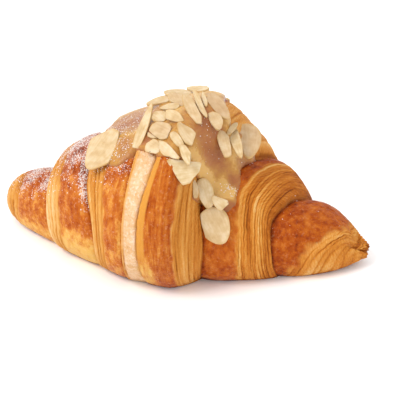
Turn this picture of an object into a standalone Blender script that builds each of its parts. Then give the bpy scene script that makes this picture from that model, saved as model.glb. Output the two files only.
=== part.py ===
"""An almond croissant: a rolled crust with cut, layered faces, a thick drizzle and flaked almonds.

+Z is up and the flat base lies on z = 0. X runs along the roll, from the left tip to the right
tip, and -Y is the front. The origin is the middle of the base of the bounding box.
"""

import math
import random
from collections import namedtuple

import bmesh
import bpy
import numpy as np
from mathutils import Matrix, Vector, noise
from mathutils.bvhtree import BVHTree

MM = 0.001

# ---- driving dimensions, in millimetres and degrees ----------------------------------------

# Angle round the roll: 0 is the front, 90 the top, 180 the back. The base lies between BASE_BACK
# and BASE_FRONT.
BASE_FRONT = -53.0
BASE_BACK = 233.0
EDGE_ANGLES = (BASE_FRONT, 0.0, 50.0, 90.0, 140.0, BASE_BACK)

# Where the edge between two wraps lies along X, at each of EDGE_ANGLES. The cut edges of the
# rolled triangle wind outwards over the back.
EDGES = {
    "left_end": (-93.5, -93.5, -93.5, -93.5, -93, -92),
    "left_tip": (-61, -65.5, -67, -67.5, -69, -71),
    "left_outer": (-39, -39.5, -44, -45, -46.5, -52),
    "left_inner": (-24, -23, -20, -17.5, -23.5, -33),
    "pale_strip": (-15, -16, -10, -7, -15, -22),
    "right_inner": (7, 10, 7.5, 21.5, 34, 38),
    "right_tip": (40, 38, 36.5, 41.5, 49.5, 55),
    "right_end": (77, 77, 77, 77, 77, 76),
}

# The wraps from left to right. way is the side that the cut face looks to, or 0 where both do.
# shoulder is the height of the roll where the wrap is fullest, and foot the height where its cut
# face ends; curve sets how round the way down is. skin_low and skin_top are the browned share of
# the wrap, low in front and over the top. ribs is the number of dough layers in the cut face.
Wrap = namedtuple("Wrap", "way shoulder foot curve skin_low skin_top ribs")
WRAPS = (
    Wrap(-1, 29.5, 3, 2.2, 0.66, 0.6, 4),
    Wrap(-1, 52, 31, 1.65, 0.7, 0.6, 4),
    Wrap(-1, 67.5, 49.5, 1.55, 0.6, 0.56, 4),
    Wrap(-1, 72, 69.5, 1.9, 0.8, 0.8, 1),
    Wrap(0, 76.5, 72.8, 1.9, 0.1, 0.1, 7),
    Wrap(1, 50.5, 31.5, 1.6, 0.5, 0.3, 7),
    Wrap(1, 30.5, 3.5, 1.1, 0.2, 0.72, 6),
)
TIPS = (0, len(WRAPS) - 1)
CREST = 0.45  # where the centre wrap is highest, as a share of its width
CENTRE_FOOT = 49.0  # height at the right foot of the centre wrap
CENTRE_CURVE = 1.35  # how round its way down to that foot is
CREVICE = 2.6  # how far a wrap starts below its shoulder, where it comes out from under the next
TIP_CREVICE = 0.7  # the same for the tips, which join their neighbours softly
CREVICE_REACH = 0.07  # share of the wrap over which it rises out of the crevice
TIP_DIP = (4.2, 0.86, 0.07)  # how far the right tip's top dips, where along it and over what share
TIP_LIFT = (0.25, 0.15)  # how far the left and right tips stand off the base, for their shoulders
LEAST_LIFT = 0.15  # a base that is lifted by less than this lies flat, so that it rests steadily
FALL = 1.3  # how soon a shoulder starts to fall to its foot, and for the left and right tips
TIP_FALL = (1.5, 2.2)
RIB_DEPTH = 0.8
WIDTH_TO_HEIGHT = {"left": 1.2, "centre": 1.1, "right": 1.1}
WIDTH_AT = 66.0
ROLL_CENTRE = 0.45  # height of the roll's widest line, as a share of its height
SQUARENESS = 0.92  # under 1 makes the section a little fuller than an ellipse
SWEEP = {"left": 16.0, "right": 12.5}  # how far the tips stand back, as a crescent
SWEEP_AT = 80.0
SPINE_Y = -8.0  # where the middle of the roll lies
LUMPS = 0.7  # unevenness of the crust
AROUND = 31  # points of the mesh in each ring round the roll
SKIN_ROWS = (-1.0, -0.9, -0.75, -0.5, -0.25)  # rings over a wrap's skin, from its shoulder
LEFT_ROWS = (0.99, 0.9, 0.7, 0.45, 0.2)  # rings over the centre wrap's short left slope
LAST_ROW = 0.985  # how near a cut face's last ring is to the foot

# The axis that toppings are placed round, as X and height.
AXIS = ((-90, 7), (-66, 13), (-40, 24), (0, 34), (25, 30), (45, 17), (75, 7))

# The drizzle, as overlapping puddles that hug the crust: X, angle round the axis, turn from the
# roll's direction, length and width.
PUDDLES = (
    (-30, 74, 60, 30, 20),
    (-26, 104, 70, 40, 22),
    (-10, 84, 70, 44, 28),
    (-2, 60, 0, 22, 20),
    (-6, 112, 0, 36, 34),
    (11, 84, -50, 32, 22),
    (20, 92, -50, 20, 14),
    (14, 62, -80, 30, 18),
    (12, 44, -75, 20, 16),
)
DRIZZLE = 1.5
DRIZZLE_ROOT = 0.8  # how far the drizzle's underside is sunk in the crust
PUDDLE_SEGMENTS = 11

# Almond flakes that show from the front: X, angle, turn, lean towards the front, length, width.
FLAKES = (
    (-35.9, 61.8, -120, 5, 21.5, 16.8),
    (-18.9, 73.5, 79, 14, 23.5, 4.6),
    (14.7, 2.5, -60, 5, 17.2, 13.3),
    (5.9, 34.5, 103, 5, 8.2, 2.6),
    (9.9, 33.4, -67, 5, 14.2, 6.8),
    (15.9, 28.2, 151, 5, 9, 5.8),
    (1.6, 43.3, 16, 5, 17.6, 12.3),
    (-11.2, 55.9, -24, 5, 7.8, 6.5),
    (-4.8, 52.5, 145, 5, 12.7, 5.4),
    (-1.5, 58.1, -45, 5, 9.6, 3.7),
    (2.2, 51.9, 126, 5, 10.5, 4.1),
    (-9.3, 65.5, -26, 10, 10.9, 9.4),
    (-13.5, 63.8, -29, 5, 6.2, 2),
    (1.5, 63.5, 139, 5, 11.8, 6.5),
    (-5.4, 75.1, -26, 15, 10.6, 5.6),
    (-12.6, 79.3, -43, 15, 7.5, 6.4),
    (-9.8, 87.8, -173, 20, 8.9, 4.3),
    (-17, 101.5, -159, 14, 11.2, 6.1),
    (-10, 108, 172, 16, 12.5, 9),
    (-2.2, 116, 156, 18, 11.1, 7.7),
    (-7.7, 94, -56, 20, 11.7, 5.7),
    (3.3, 87.6, -52, 25, 14.3, 3.7),
    (1.2, 82, -57, 20, 19, 5.7),
    (4.4, 92.6, 114, 20, 8.7, 2.2),
    (10.1, 92.8, -37, 20, 15.3, 6.7),
    (10.6, 82.3, -55, 10, 9.9, 6.5),
    (23.2, 98.2, -76, 20, 21.3, 10.9),
    (14.4, 76.9, 116, 5, 13, 6.8),
    (19.6, 83.3, -67, 10, 20.4, 4.8),
    (17.2, 90.4, -113, 15, 8.1, 3.2),
)
FLAKE_THICKNESS = 1.0
FLAKE_SIDES = 8
SUNK = 0.3  # share of a flake's points that end up in what it lies on
BITE = 0.2
SUPPORT = 4.0  # how far round a topping's middle the crust sets its slope
ABOVE = 40.0  # where toppings are dropped from
BACK_FLAKES = {"count": 7, "from": -26, "to": 6, "angle": (138, 152), "length": (9, 13), "width": (6, 10)}
SEED = 7

CRUST_COLOUR = (0.52, 0.20, 0.05)
CRUST_ROUGHNESS = 0.45
SHARP_FROM = 40.0  # edges that turn by more than this stay sharp


def smooth(share):
    """0 below 0, 1 above 1, and an even S between."""
    share = min(1.0, max(0.0, share))
    return share * share * (3 - 2 * share)


def blend(low, high, share):
    return low + (high - low) * share


def edge_slopes(row):
    """Slopes of a smooth curve through the places of one edge, level where they turn back."""
    runs = np.diff(row) / np.diff(EDGE_ANGLES)
    inner = [0.0 if a * b <= 0 else 2 * a * b / (a + b) for a, b in zip(runs, runs[1:])]
    return [runs[0], *inner, runs[-1]]


EDGE_ROWS = [(row, edge_slopes(row)) for row in EDGES.values()]


def edge_place(edge, angle):
    """X of an edge between wraps at an angle round the roll."""
    row, slopes = EDGE_ROWS[edge]
    n = 0
    while n < len(row) - 2 and angle > EDGE_ANGLES[n + 1]:
        n += 1
    span = EDGE_ANGLES[n + 1] - EDGE_ANGLES[n]
    t = (angle - EDGE_ANGLES[n]) / span
    start = row[n] * (1 + 2 * t) * (1 - t) ** 2 + slopes[n] * span * t * (1 - t) ** 2
    end = row[n + 1] * t * t * (3 - 2 * t) + slopes[n + 1] * span * t * t * (t - 1)
    return start + end


def skin_share(wrap, angle):
    return blend(wrap.skin_low, wrap.skin_top, smooth((angle + 40) / 110))


def fall(out, number, side):
    """1 at the shoulder, where out is 0, and 0 at the foot, where out is 1."""
    power = TIP_FALL[TIPS.index(number)] if number in TIPS else FALL
    curve = CENTRE_CURVE if WRAPS[number].way == 0 and side > 0 else WRAPS[number].curve
    return (1 - min(1.0, max(0.0, out)) ** power) ** (1 / curve)


def ring_shape(number, out, side, angle):
    """X, height and lift of the roll's section: out runs from a wrap's shoulder to its foot.

    side is -1 or 1, the way that the foot lies from the shoulder.
    """
    wrap = WRAPS[number]
    left, right = edge_place(number, angle), edge_place(number + 1, angle)
    down = fall(out, number, side)
    lift = 0.0
    if wrap.way == 0:
        crest = blend(left, right, CREST)
        x = blend(crest, left if side < 0 else right, out)
        foot = wrap.foot if side < 0 else CENTRE_FOOT
        height = blend(foot, wrap.shoulder, down)
    else:
        x = blend(right, left, out) if side < 0 else blend(left, right, out)
        height = blend(wrap.foot, wrap.shoulder, down)
        crevice = TIP_CREVICE if number in TIPS else CREVICE
        height -= crevice * math.exp(-out / CREVICE_REACH)
    if number in TIPS:
        lift = TIP_LIFT[TIPS.index(number)] * wrap.shoulder * (1 - down) ** 1.5
    return x, height, lift


def rib_relief(number, out, side, angle):
    """Relief of the dough layers that show in a cut face, from 0 down to -1."""
    wrap = WRAPS[number]
    skin = skin_share(wrap, angle)
    if out <= skin or (wrap.way == 0 and side < 0):
        return 0.0
    face = (out - skin) / (1 - skin)
    wave = math.cos(2 * math.pi * face * wrap.ribs)
    depth = 0.75 + 0.5 * noise.noise(Vector((number * 5, angle / 50, face * wrap.ribs)))
    return (wave - 1) / 2 * depth


def crust_point(number, out, side, angle):
    """A point of the crust, in millimetres."""
    x, height, lift = ring_shape(number, out, side, angle)
    edge = smooth((angle - BASE_FRONT) / 20) * smooth((BASE_BACK - angle) / 20)
    height += 2 * RIB_DEPTH * rib_relief(number, out, side, angle) * blend(0.3, 1.0, edge)
    across, up = math.cos(math.radians(angle)), math.sin(math.radians(angle))
    tip = "left" if x < 0 else "right"
    wide = blend(WIDTH_TO_HEIGHT["centre"], WIDTH_TO_HEIGHT[tip], min(1.0, abs(x) / WIDTH_AT))
    y = -height * wide / 2 * math.copysign(abs(across) ** SQUARENESS, across)
    z = height * (ROLL_CENTRE + (1 - ROLL_CENTRE) * math.copysign(abs(up) ** SQUARENESS, up))
    y += spine_y(x)
    lump = LUMPS * noise.noise(Vector((x, y, z)) / 13)
    y -= lump * across
    z += lump * up + lift
    if number == TIPS[1]:
        deep, middle, reach = TIP_DIP
        over = smooth((angle - 25) / 40) * smooth((150 - angle) / 30)
        z -= deep * math.exp(-(((out - middle) / reach) ** 2)) * over
    if angle <= BASE_FRONT or angle >= BASE_BACK:
        z = lift if lift > LEAST_LIFT else 0.0
    return Vector((x, y, max(0.0, z)))


def spine_y(x):
    sweep = SWEEP["left"] if x < 0 else SWEEP["right"]
    return sweep * (x / SWEEP_AT) ** 2 + SPINE_Y


def rings():
    """The mesh's rings in order along the roll: wrap, share from shoulder to foot, and side.

    The share is negative on the skin, and 0 to 1 over the ribs of the cut face, because the
    border between the two moves with the angle.
    """
    made = []
    for number, wrap in enumerate(WRAPS):
        face_rows = [n / (2 * wrap.ribs) * LAST_ROW for n in range(2 * wrap.ribs + 1)]
        rows = [*SKIN_ROWS, *face_rows]
        if wrap.way == 0:
            made += [(number, row, -1) for row in LEFT_ROWS]
            made += [(number, row, 1) for row in (-1.0, -0.5, *face_rows)]
        elif wrap.way > 0:
            made += [(number, row, 1) for row in rows]
        else:
            made += [(number, row, -1) for row in reversed(rows)]
    return made


def ring_point(ring, angle):
    number, row, side = ring
    skin = skin_share(WRAPS[number], angle)
    out = skin * (1 + row) if row < 0 else blend(skin, 1.0, row)
    return crust_point(number, out, side, angle)


def ring_middle(ring, away):
    """The middle of the last ring at a tip, a little further out."""
    points = [ring_point(ring, angle) for angle in range(-50, 231, 20)]
    return sum(points, Vector()) / len(points) + Vector((away, 0, 0))


def new_object(name, shape, collection):
    mesh = bpy.data.meshes.new(name)
    shape.to_mesh(mesh)
    shape.free()
    made = bpy.data.objects.new(name, mesh)
    collection.objects.link(made)
    return made


def crust(collection):
    """The rolled crust: a sphere whose rings become the sections of the roll."""
    places = rings()
    rows = len(places) + 1
    ball = bmesh.new()
    bmesh.ops.create_uvsphere(ball, u_segments=AROUND, v_segments=rows, radius=1)
    for vert in ball.verts:
        row = round(math.acos(max(-1.0, min(1.0, vert.co.z))) / math.pi * rows)
        step = round(math.atan2(vert.co.y, vert.co.x) / (2 * math.pi) * AROUND) % AROUND
        angle = blend(BASE_FRONT, BASE_BACK, step / (AROUND - 1))
        if row == 0:
            place = ring_middle(places[0], -0.5)
        elif row == rows:
            place = ring_middle(places[-1], 0.5)
        else:
            place = ring_point(places[row - 1], angle)
        vert.co = place * MM
    bmesh.ops.recalc_face_normals(ball, faces=ball.faces)
    return new_object("croissant", ball, collection)


def surface_of(shapes):
    """The surface of some shapes, to lay toppings on."""
    whole = bmesh.new()
    for shape in shapes:
        piece = bpy.data.meshes.new("piece")
        shape.to_mesh(piece)
        whole.from_mesh(piece)
        bpy.data.meshes.remove(piece)
    tree = BVHTree.FromBMesh(whole)
    whole.free()
    return tree


def axis_point(x):
    return Vector((x, spine_y(x), float(np.interp(x, *zip(*AXIS)))))


def laid_frame(surface, x, angle, turn, lean):
    """Where a ray out of the roll's axis leaves the crust, with axes there along the topping."""
    ray = Vector((0, -math.cos(math.radians(angle)), math.sin(math.radians(angle))))
    place = surface.ray_cast(axis_point(x) + ray * 150, -ray)[0]
    side = Vector((SUPPORT, 0, 0))
    around = [Matrix.Rotation(step * math.pi / 4, 3, ray) @ side for step in range(9)]
    beside = [surface.find_nearest(place + way)[0] - place for way in around]
    normal = Vector()
    for one, other in zip(beside, beside[1:]):
        normal += one.cross(other)
    normal.normalize()
    along = (Vector((1, 0, 0)) - normal * normal.x).normalized()
    tip = Matrix.Rotation(math.radians(lean), 3, along)
    spin = Matrix.Rotation(math.radians(turn), 3, normal)
    axes = tip @ spin @ Matrix((along, normal.cross(along), normal)).transposed()
    return place, axes


def puddle(surface, x, angle, turn, length, width):
    """A patch of drizzle: a lens whose vertices are dropped onto the crust."""
    place, axes = laid_frame(surface, x, angle, turn, 0)
    shape = bmesh.new()
    bmesh.ops.create_uvsphere(shape, u_segments=PUDDLE_SEGMENTS, v_segments=6, radius=1)
    up = axes.col[2]
    for vert in shape.verts:
        reach = 1 + 0.12 * noise.noise(Vector((vert.co.x * 2, vert.co.y * 2, x)))
        flat = Vector((vert.co.x * length / 2, vert.co.y * width / 2, 0)) * reach
        over = place + axes @ flat
        spot = surface.ray_cast(over + up * ABOVE, -up)[0] or surface.find_nearest(over)[0]
        rise = DRIZZLE * vert.co.z**0.5 if vert.co.z > 0.01 else -DRIZZLE_ROOT
        vert.co = spot + up * rise
    return shape


def flake(surface, x, angle, turn, lean, length, width, draw):
    """An almond slice: a bent oval with one end fuller, and often one side broken off."""
    place, axes = laid_frame(surface, x, angle, turn, lean)
    shape = bmesh.new()
    bmesh.ops.create_circle(shape, cap_ends=True, segments=FLAKE_SIDES, radius=1)
    bmesh.ops.poke(shape, faces=shape.faces)
    broken = draw.uniform(0.7, 1.3)
    cup = draw.uniform(0.2, 0.6)
    for vert in shape.verts:
        along = min(vert.co.x, broken)
        side = vert.co.y * (1 - 0.25 * vert.co.x) * draw.uniform(0.92, 1.08)
        bent = cup * (along**2 + side**2 - 1) / 2
        vert.co = place + axes @ Vector((along * length / 2, side * width / 2, bent + ABOVE))
    settle(surface, shape, -axes.col[2])
    grown = bmesh.ops.extrude_face_region(shape, geom=shape.faces[:])
    upper = [part for part in grown["geom"] if isinstance(part, bmesh.types.BMVert)]
    bmesh.ops.translate(shape, verts=upper, vec=axes.col[2] * FLAKE_THICKNESS)
    bmesh.ops.triangulate(shape, faces=shape.faces)
    bmesh.ops.recalc_face_normals(shape, faces=shape.faces)
    return shape


def settle(surface, shape, down):
    """Drop a flake until a few of its points are in whatever lies under it."""
    met = [surface.ray_cast(vert.co, down)[3] for vert in shape.verts]
    falls = sorted(fall for fall in met if fall is not None)
    fall = falls[int(len(falls) * SUNK)]
    bmesh.ops.translate(shape, verts=shape.verts, vec=down * (fall + BITE))


def back_flakes(draw):
    """Places of the flakes behind the crest, out of sight from the front."""
    count = BACK_FLAKES["count"]
    for number in range(count):
        share = (number + draw.uniform(0.1, 0.9)) / count
        x = blend(BACK_FLAKES["from"], BACK_FLAKES["to"], share)
        angle = draw.uniform(*BACK_FLAKES["angle"])
        turn = draw.uniform(-90, 90)
        length = draw.uniform(*BACK_FLAKES["length"])
        width = draw.uniform(*BACK_FLAKES["width"])
        yield x, angle, turn, 0, length, width


def lay_toppings(made):
    """Fuse the drizzle and the flakes to the crust."""
    bare = bmesh.new()
    bare.from_mesh(made.data)
    bmesh.ops.scale(bare, vec=(1 / MM,) * 3, verts=bare.verts)
    shapes = [bare]
    crust_surface = surface_of(shapes)
    shapes += [puddle(crust_surface, *place) for place in PUDDLES]
    draw = random.Random(SEED)
    for place in (*FLAKES, *back_flakes(draw)):
        shapes.append(flake(surface_of(shapes), *place, draw))
    toppings = bpy.data.collections.new("Toppings")
    bpy.context.scene.collection.children.link(toppings)
    for number, shape in enumerate(shapes[1:]):
        bmesh.ops.scale(shape, vec=(MM,) * 3, verts=shape.verts)
        new_object(f"topping_{number}", shape, toppings)
    bare.free()
    fuse = made.modifiers.new("Fuse", "BOOLEAN")
    fuse.operation = "UNION"
    fuse.operand_type = "COLLECTION"
    fuse.collection = toppings
    fuse.solver = "MANIFOLD"
    seen = made.evaluated_get(bpy.context.evaluated_depsgraph_get())
    fused = bpy.data.meshes.new_from_object(seen)
    made.modifiers.clear()
    made.data = fused
    for topping in list(toppings.objects):
        bpy.data.objects.remove(topping)
    bpy.data.collections.remove(toppings)


def keep_main_body(made):
    """Drop loose scraps and the walls of sealed hollows, so that one closed skin is left.

    The skins are told apart by the edges that exactly two triangles share.
    """
    shape = bmesh.new()
    shape.from_mesh(made.data)
    bmesh.ops.triangulate(shape, faces=shape.faces)
    skins = []
    left = set(shape.faces)
    while left:
        grown = [left.pop()]
        skin = set(grown)
        while grown:
            edges = {edge for seen in grown for edge in seen.edges if len(edge.link_faces) == 2}
            beside = {face for edge in edges for face in edge.link_faces}
            grown = list(beside - skin)
            skin |= beside
        left -= skin
        skins.append(skin)
    skins.sort(key=len)
    for skin in skins[:-1]:
        bmesh.ops.delete(shape, geom=list(skin), context="FACES")
    print(len(skins) - 1, "scraps and hollows dropped,", len(shape.faces), "triangles kept")
    print("edges without two faces:", sum(len(edge.link_faces) != 2 for edge in shape.edges))
    shape.to_mesh(made.data)
    shape.free()


def rest_on_origin(made):
    """Move the mesh so that the middle of the base of its bounding box is the origin."""
    places = np.array([vert.co[:] for vert in made.data.vertices])
    low, high = places.min(axis=0), places.max(axis=0)
    middle = Vector(((low[0] + high[0]) / 2, (low[1] + high[1]) / 2, low[2]))
    made.data.transform(Matrix.Translation(-middle))
    print("moved by", [round(-value / MM, 2) for value in middle], "mm")
    print("size", [round(float(value) / MM, 1) for value in high - low], "mm")


def crust_material():
    material = bpy.data.materials.new("Browned crust")
    material.use_nodes = True
    shader = material.node_tree.nodes["Principled BSDF"]
    shader.inputs["Base Color"].default_value = (*CRUST_COLOUR, 1)
    shader.inputs["Roughness"].default_value = CRUST_ROUGHNESS
    shader.inputs["Metallic"].default_value = 0
    return material


def main():
    for old in list(bpy.data.objects):
        bpy.data.objects.remove(old)
    parts = bpy.data.collections.new("Almond croissant")
    bpy.context.scene.collection.children.link(parts)
    made = crust(parts)
    lay_toppings(made)
    keep_main_body(made)
    rest_on_origin(made)
    made.data.materials.clear()
    made.data.materials.append(crust_material())
    made.data.shade_smooth()
    made.data.set_sharp_from_angle(angle=math.radians(SHARP_FROM))


main()
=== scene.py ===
import math
import random

import bmesh
import bpy
import numpy as np
from mathutils import Matrix, Vector, noise
from mathutils.bvhtree import BVHTree


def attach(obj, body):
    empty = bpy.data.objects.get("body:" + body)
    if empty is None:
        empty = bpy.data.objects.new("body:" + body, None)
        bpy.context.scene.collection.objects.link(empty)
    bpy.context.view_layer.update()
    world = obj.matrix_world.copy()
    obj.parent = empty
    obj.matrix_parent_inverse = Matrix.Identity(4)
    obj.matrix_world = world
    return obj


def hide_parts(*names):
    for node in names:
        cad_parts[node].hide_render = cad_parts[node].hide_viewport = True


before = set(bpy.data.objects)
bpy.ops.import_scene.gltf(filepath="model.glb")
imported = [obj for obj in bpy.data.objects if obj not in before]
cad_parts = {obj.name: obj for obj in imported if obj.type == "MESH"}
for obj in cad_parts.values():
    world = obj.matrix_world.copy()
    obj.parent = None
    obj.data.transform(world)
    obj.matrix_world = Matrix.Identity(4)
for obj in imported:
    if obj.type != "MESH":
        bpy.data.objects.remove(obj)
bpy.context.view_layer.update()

mm = 0.001


def colour(text):  # sRGB hex to linear
    parts = [int(text[n : n + 2], 16) / 255 for n in (1, 3, 5)]
    return (*(p / 12.92 if p <= 0.04045 else ((p + 0.055) / 1.055) ** 2.4 for p in parts), 1)


def addNode(tree, kind, values=None, links=None, stops=None, out=0, **settings):  # gives one output
    node = tree.nodes.new("ShaderNode" + kind)
    for name, value in settings.items():
        setattr(node, name, value)
    for socket, value in (values or {}).items():
        node.inputs[socket].default_value = value
    for socket, source in (links or {}).items():
        tree.links.new(source, node.inputs[socket])
    if stops:
        ramp = node.color_ramp.elements
        while len(ramp) < len(stops):
            ramp.new(0.5)
        for element, (place, shade) in zip(ramp, stops):
            element.position = place
            element.color = colour(shade)
    return node.outputs[out]


def vary(tree, value, pattern, amount):  # value + (pattern - 0.5) * amount
    part = addNode(tree, "Math", {1: amount, 2: -0.5 * amount}, {0: pattern}, operation="MULTIPLY_ADD")
    return addNode(tree, "Math", links={0: value, 1: part}, operation="ADD")


def newMaterial(name, finish):  # finish holds what is the same all over it
    made = bpy.data.materials.new(name)
    made.use_nodes = True
    shader = made.node_tree.nodes["Principled BSDF"]
    for socket, value in finish.items():
        shader.inputs[socket].default_value = value
    return made, made.node_tree, shader


def newObject(name, shape, material):
    mesh = bpy.data.meshes.new(name)
    shape.to_mesh(mesh)
    shape.free()
    mesh.shade_smooth()
    mesh.materials.append(material)
    made = bpy.data.objects.new(name, mesh)
    bpy.context.scene.collection.objects.link(made)
    return made


def setAttribute(mesh, name, values):
    mesh.attributes.new(name, "FLOAT", "POINT").data.foreach_set("value", np.asarray(values, np.float32))


def smooth(share):
    share = np.clip(share, 0.0, 1.0)
    return share * share * (3 - 2 * share)


def rise(value, start, reach):  # from 0 at start to 1 at start + reach; it falls where reach is negative
    return smooth((value - start) / reach)


def hump(value, middle, reach):  # 1 in the middle, and almost nothing from twice the reach on
    return np.exp(-(((value - middle) / reach) ** 2))


def mix(low, high, share):
    return low + (high - low) * share


def noiseAt(points, size, seed=0.0):  # even noise of about -1 to 1 at each point; size in their units
    flat = np.asarray(points, float).reshape(-1, 3) / size + seed * 7.31
    found = np.fromiter((noise.noise(point) for point in flat), float, len(flat))
    return found.reshape(np.shape(points)[:-1])


def noiseRound(angle, size, seed):  # noise that changes only with the angle; size in degrees
    return noiseAt(np.stack([angle, angle * 0, angle * 0], -1), size, seed)


camera = {
    "azimuth": 12.02,  # degrees to the right of the front
    "elevation": 29.39,
    "distance": 665.0,  # millimetres
    "lookAt": (8.17, 8.12, 34.2),
    "pixel": 0.4465,  # millimetres at the croissant's distance
    "centre": (197.0, 183.3),  # where lookAt falls in a picture of 400 by 400
    "picture": 400,
    "sensor": 36,
    "clip": (0.01, 20),  # metres
}


def addCamera():
    a, e = math.radians(camera["azimuth"]), math.radians(camera["elevation"])
    back = Vector((math.sin(a) * math.cos(e), -math.cos(a) * math.cos(e), math.sin(e)))
    data = bpy.data.cameras.new("camera")
    data.sensor_width = camera["sensor"]
    data.lens = data.sensor_width * camera["distance"] / (camera["pixel"] * camera["picture"])
    data.shift_x = 0.5 - camera["centre"][0] / camera["picture"]
    data.shift_y = camera["centre"][1] / camera["picture"] - 0.5
    data.clip_start, data.clip_end = camera["clip"]
    made = bpy.data.objects.new("camera", data)
    made.location = (Vector(camera["lookAt"]) + back * camera["distance"]) * mm
    made.rotation_mode = "QUATERNION"
    made.rotation_quaternion = (-back).to_track_quat("-Z", "Y")
    bpy.context.scene.collection.objects.link(made)
    bpy.context.scene.camera = made


light = {
    "world": 1.13,
    "key": {"at": (-0.62, -0.55, 1.0), "size": 0.45, "watts": 8.4},  # soft box, high on the left
    "fill": {"at": (0.9, -0.5, 0.6), "size": 0.9, "watts": 0.8},
}


def addLights():
    world = bpy.data.worlds.new("soft studio")
    bpy.context.scene.world = world
    world.use_nodes = True
    sky = world.node_tree.nodes["Background"]
    sky.inputs["Color"].default_value = (1, 1, 1, 1)
    sky.inputs["Strength"].default_value = light["world"]
    for name in ("key", "fill"):
        data = bpy.data.lights.new(name, "AREA")
        data.size = light[name]["size"]
        data.energy = light[name]["watts"]
        made = bpy.data.objects.new(name, data)
        made.location = light[name]["at"]
        made.rotation_mode = "QUATERNION"
        made.rotation_quaternion = (-Vector(light[name]["at"])).to_track_quat("-Z", "Y")
        bpy.context.scene.collection.objects.link(made)
    bpy.context.scene.view_settings.view_transform = "Standard"


paper = {
    "half": 6,  # half of its side, in metres
    "finish": {"Base Color": (0.98, 0.98, 0.98, 1), "Roughness": 0.9},
}


def addFloor():
    shape = bmesh.new()
    bmesh.ops.create_grid(shape, x_segments=1, y_segments=1, size=paper["half"])
    made = newMaterial("White paper sweep", paper["finish"])[0]  # matt white, so that it vanishes
    floor = newObject("floor", shape, made)


# The roll is seven wraps of dough. The angle goes round it: 0 is the front, 90 the top, 180 the
# back. edges says where each edge between wraps lies along X at each of edgeAngles. A wrap comes
# out from under its neighbour at 0 and ends at 1: the skin first, and then the cut face.
roll = {
    "edgeAngles": (-53.0, 0.0, 50.0, 90.0, 140.0, 233.0),
    "edges": (
        (-93.5, -93.5, -93.5, -93.5, -93, -92),
        (-61, -65.5, -67, -67.5, -69, -71),
        (-39, -39.5, -44, -45, -46.5, -52),
        (-24, -23, -20, -17.5, -23.5, -33),
        (-15, -16, -10, -7, -15, -22),
        (7, 10, 7.5, 21.5, 34, 38),
        (40, 38, 36.5, 41.5, 49.5, 55),
        (77, 77, 77, 77, 77, 76),
    ),
    "shift": (8.17, 8.12, 0.0),  # from the roll's own frame to the middle of its box
    "crest": 0.45,  # where the middle wrap is highest, as a share of its width
    "centreFoot": 49,  # how high the middle wrap is at its right edge
    "crevice": 2.6,  # how far a wrap dips where it comes out
    "tipCrevice": 0.7,  # the tips join their neighbours softly
    "creviceReach": 0.07,
    "tipDip": (4.2, 0.86, 0.07),  # how far the right tip's top dips, where along it and over what share
    "tipLift": {"left": 0.25, "right": 0.15},  # how far a tip's end stands up, as a share of its height
    "fall": 1.3,  # how late a wrap falls from its shoulder to its foot
    "tipFall": {"left": 1.5, "right": 2.2},
    "centreCurve": 1.35,  # how full the right side of the middle wrap is
    "width": {"left": 1.2, "centre": 1.1, "right": 1.1},  # of a section, as a share of its height
    "widthAt": 66.0,  # how far out the ends' widths hold
    "centre": 0.45,  # how high the middle of a section is, as a share of its height
    "squareness": 0.92,  # 1 is an ellipse, and less is squarer
    "sweep": {"left": 16.0, "right": 12.5},  # how far back the ends bend, at sweepAt
    "sweepAt": 80.0,
    "spine": -8.0,  # Y of the roll's middle
    "lumps": (0.7, 13),  # how far the roll swells, and the size of a swelling
    "around": 190,  # points on a ring
    "ringsAt": 60.0,  # angle at which the rings are spaced
    "skinStep": 0.50,
    "faceStep": 0.29,
    "lastRow": 0.985,
    "perDegree": 0.6,  # millimetres, for patterns that run round the roll
}

leftTip, secondLeft, thirdLeft, paleStrip, middleWrap, innerRight, rightTip = range(7)

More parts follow.
